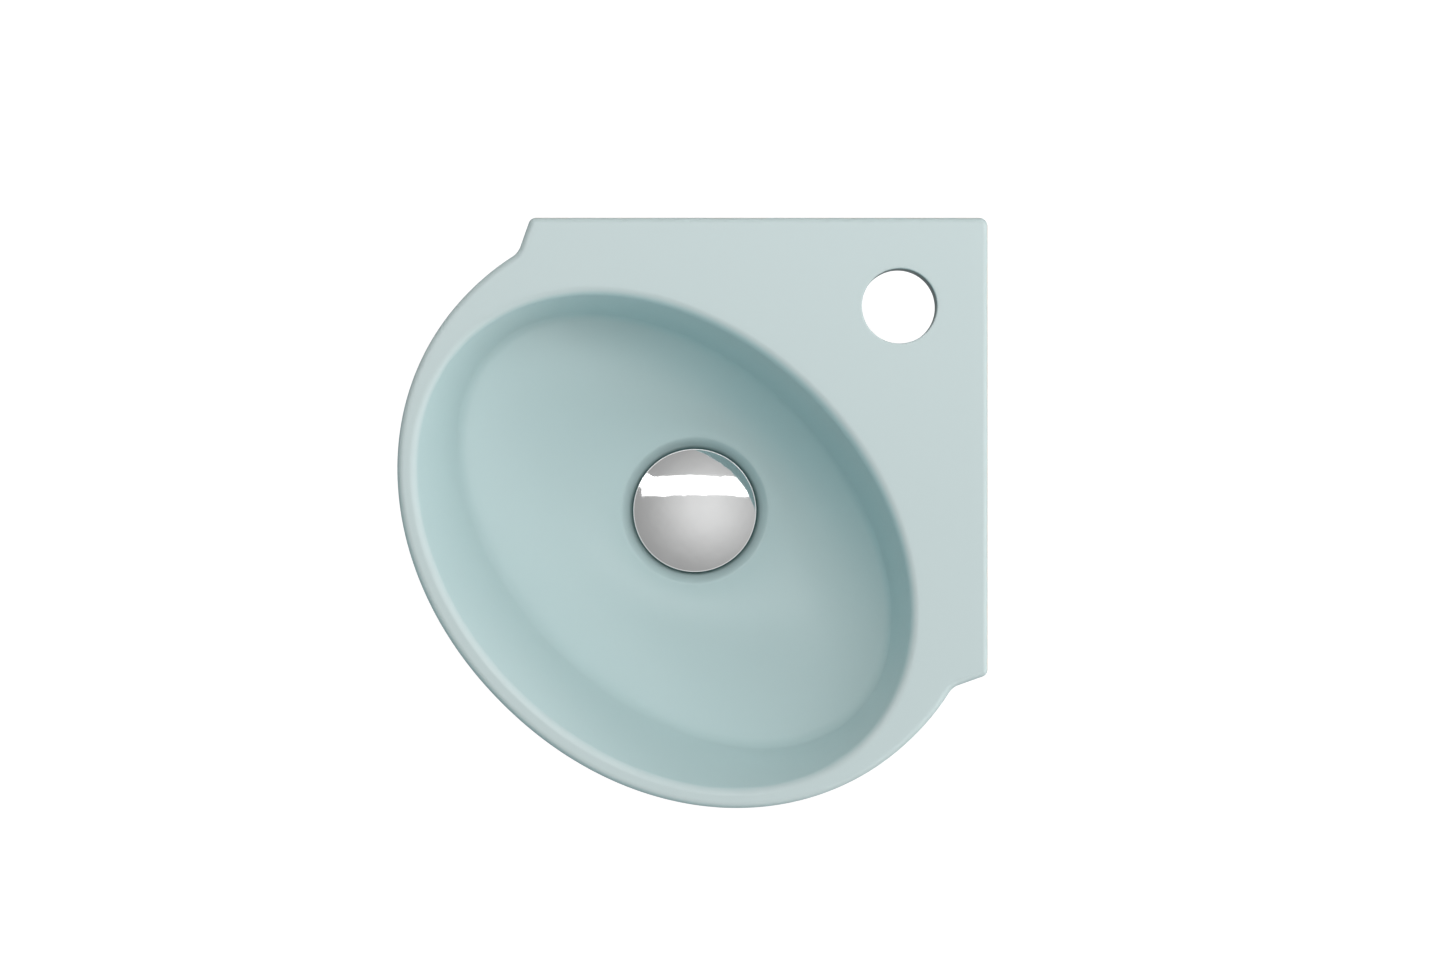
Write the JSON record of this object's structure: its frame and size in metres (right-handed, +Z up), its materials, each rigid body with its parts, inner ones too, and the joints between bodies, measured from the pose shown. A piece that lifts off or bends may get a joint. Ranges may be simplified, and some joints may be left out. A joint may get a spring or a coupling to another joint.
{
  "type": "corner hand basin",
  "caption": "Small corner hand basin with an oval bowl, a deck with a tap hole, two wall aprons with fixing holes and a push-open waste.",
  "frame": {"origin": "centre of the tap hole at the height of the rim", "axes": "+X towards the right wall, +Y towards the back wall, +Z up; the walls stand at x = 45 mm and y = 45 mm and the bowl points to -X -Y"},
  "size_m": [0.3, 0.3, 0.184],
  "materials": {
    "glaze": "satin glaze, pale blue-green",
    "chrome": "polished plating on brass",
    "brass": "turned, unplated",
    "rubber": "moulded black rubber",
    "nylon": "moulded white acetal",
    "steel": "stainless steel, turned or drawn"
  },
  "bodies": {
    "basin": {"basin": "glaze", "waste_body": "chrome", "flange_gasket": "rubber", "lower_gasket": "rubber", "slip_washer": "nylon", "backnut": "brass", "click_housing": "nylon", "click_base": "brass", "stem_ring": "rubber", "click_spring": "steel"},
    "plug": {"plug_cap": "chrome", "plug_carrier": "nylon", "plug_seal": "rubber", "plug_locknut": "brass", "click_plunger": "steel"},
    "rotor": {"click_rotor": "nylon"}
  },
  "joints": [
    {"name": "plug_travel", "type": "slide", "parent": "basin", "child": "plug", "axis": [0, 0, 1], "range_m": [-0.0015, 0.008], "deforming": ["click_spring"]},
    {"name": "rotor_index", "type": "hinge", "parent": "plug", "child": "rotor", "pos_m": [-0.105, -0.105, -0.13], "axis": [0, 0, 1], "continuous": true}
  ]
}
